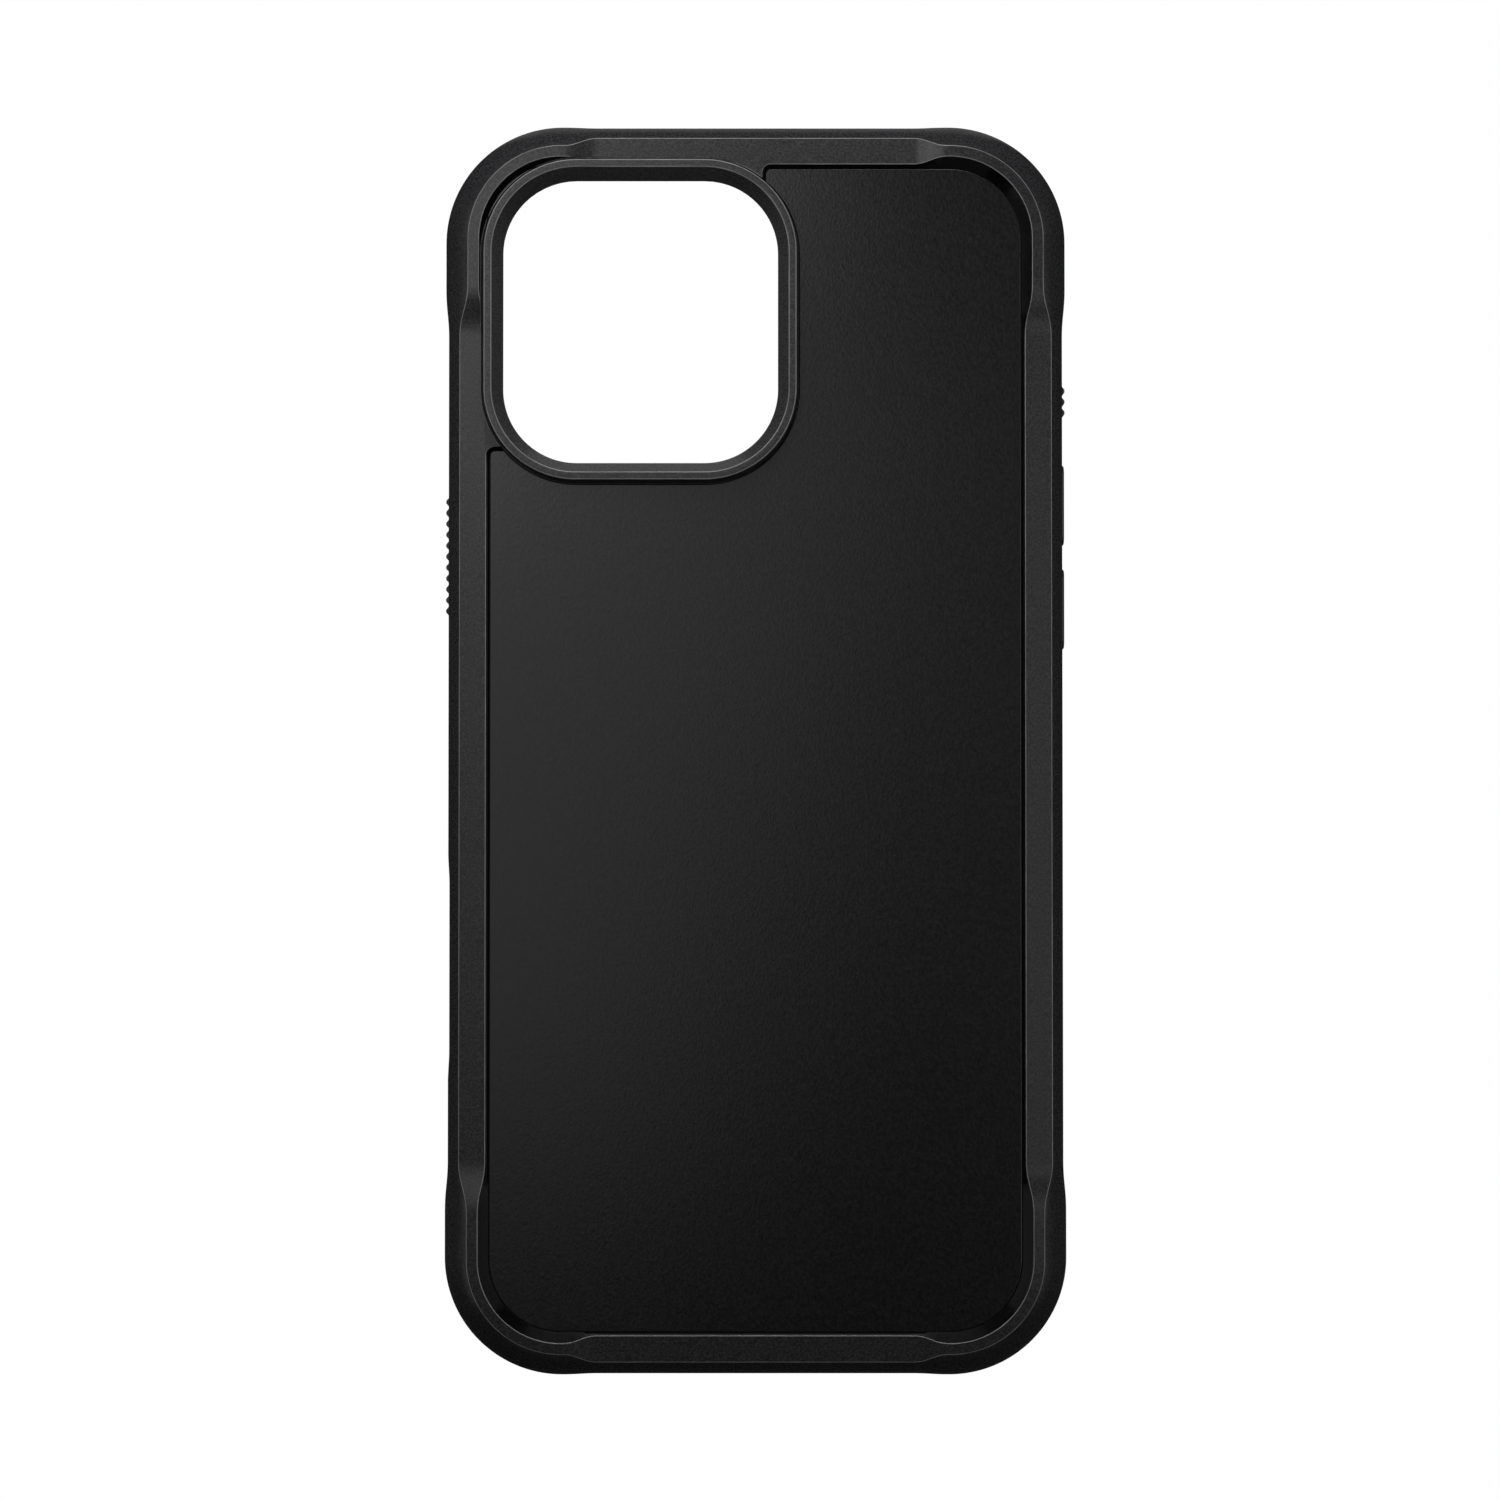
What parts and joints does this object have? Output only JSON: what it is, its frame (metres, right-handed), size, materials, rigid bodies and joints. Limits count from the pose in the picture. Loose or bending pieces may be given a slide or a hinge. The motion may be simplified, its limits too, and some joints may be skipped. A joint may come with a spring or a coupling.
{
  "type": "phone case",
  "caption": "Rugged phone case with a soft corner-guarding bumper, hard core, bonded back panel, raised lens ring, magnet ring and sprung side buttons.",
  "frame": {"origin": "centre of the front rim, on the surface that the case lies on with its back up", "axes": "+Z out of the back, +Y towards the end with the lens opening, +X towards the volume buttons (right, seen from behind)"},
  "size_m": [0.0844, 0.1698, 0.0145],
  "materials": {
    "bumper": "matte black soft elastomer with a fine grain",
    "core": "matte black hard plastic",
    "panel": "matte black panel with a very fine pebbled texture",
    "adhesive": "thin pressure-sensitive sheet",
    "lens_ring": "matte black hard ring",
    "liner": "dark short-fibre lining",
    "film": "thin polymer film",
    "magnet": "plated sintered magnets",
    "copper": "etched copper track",
    "chip": "moulded chip package",
    "button": "matte black button caps",
    "pad": "dark grey elastomer pushers"
  },
  "bodies": {
    "case": {"bumper_frame": "bumper", "core_shell": "core", "back_panel": "panel", "panel_adhesive": "adhesive", "lens_ring": "lens_ring", "liner": "liner", "magnet_film": "film", "magnet_segments": "magnet", "aligning_magnet": "magnet", "antenna_coil": "copper", "antenna_chip": "chip"},
    "power_button": {"power_button_cap": "button", "power_button_pad": "pad"},
    "action_button": {"action_button_cap": "button", "action_button_pad": "pad"},
    "volume_up": {"volume_up_cap": "button", "volume_up_pad": "pad"},
    "volume_down": {"volume_down_cap": "button", "volume_down_pad": "pad"}
  },
  "joints": [
    {"name": "power_button_press", "type": "slide", "parent": "case", "child": "power_button", "axis": [1, 0, 0], "range_m": [0, 0.0003], "stiffness_N_per_m": 1000},
    {"name": "action_button_press", "type": "slide", "parent": "case", "child": "action_button", "axis": [-1, 0, 0], "range_m": [0, 0.0003], "stiffness_N_per_m": 1000},
    {"name": "volume_up_press", "type": "slide", "parent": "case", "child": "volume_up", "axis": [-1, 0, 0], "range_m": [0, 0.0003], "stiffness_N_per_m": 1000},
    {"name": "volume_down_press", "type": "slide", "parent": "case", "child": "volume_down", "axis": [-1, 0, 0], "range_m": [0, 0.0003], "stiffness_N_per_m": 1000}
  ]
}
